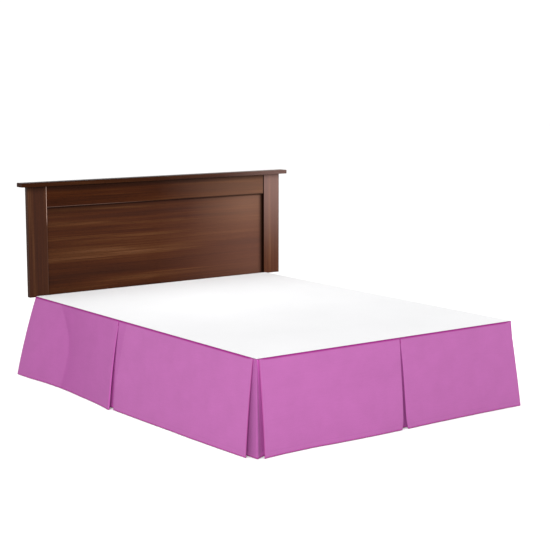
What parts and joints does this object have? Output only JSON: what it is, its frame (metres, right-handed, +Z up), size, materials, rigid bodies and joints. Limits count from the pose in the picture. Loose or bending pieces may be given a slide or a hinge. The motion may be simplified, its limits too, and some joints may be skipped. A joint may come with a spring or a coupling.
{
  "type": "bed skirt on a bed",
  "caption": "Tailored orchid bed skirt with inverted pleats and open corners, its white deck lying on a box spring and steel frame with a walnut panel headboard.",
  "frame": {"origin": "on the floor, under the centre of the whole part's bounding box", "axes": "+Y from the foot towards the headboard, +Z up, +X to the right seen from the foot"},
  "size_m": [1.7822, 2.1553, 1.0303],
  "materials": {
    "orchid_cotton": "matt plain-woven cotton blend, orchid",
    "platform_cloth": "matt plain-woven white lining cloth",
    "ticking": "matt off-white ticking",
    "walnut": "satin dark walnut veneer",
    "painted_steel": "satin dark grey powder coat",
    "glide_plastic": "matt black moulded"
  },
  "bodies": {
    "root": {"deck": "platform_cloth", "drop_left": "orchid_cotton", "drop_right": "orchid_cotton", "drop_foot": "orchid_cotton", "corner_insert_left": "orchid_cotton", "corner_insert_right": "orchid_cotton", "box_spring": "ticking", "side_rail_left": "painted_steel", "side_rail_right": "painted_steel", "cross_rail_foot": "painted_steel", "cross_rail_middle": "painted_steel", "cross_rail_head": "painted_steel", "leg_foot_left": "painted_steel", "leg_foot_right": "painted_steel", "leg_middle_left": "painted_steel", "leg_middle_right": "painted_steel", "leg_head_left": "painted_steel", "leg_head_right": "painted_steel", "glide_foot_left": "glide_plastic", "glide_foot_right": "glide_plastic", "glide_middle_left": "glide_plastic", "glide_middle_right": "glide_plastic", "glide_head_left": "glide_plastic", "glide_head_right": "glide_plastic", "headboard_bracket_left": "painted_steel", "headboard_bracket_right": "painted_steel", "headboard_stile_left": "walnut", "headboard_stile_right": "walnut", "headboard_top_rail": "walnut", "headboard_panel": "walnut", "headboard_cap": "walnut", "headboard_leg_left": "walnut", "headboard_leg_right": "walnut"}
  },
  "joints": []
}
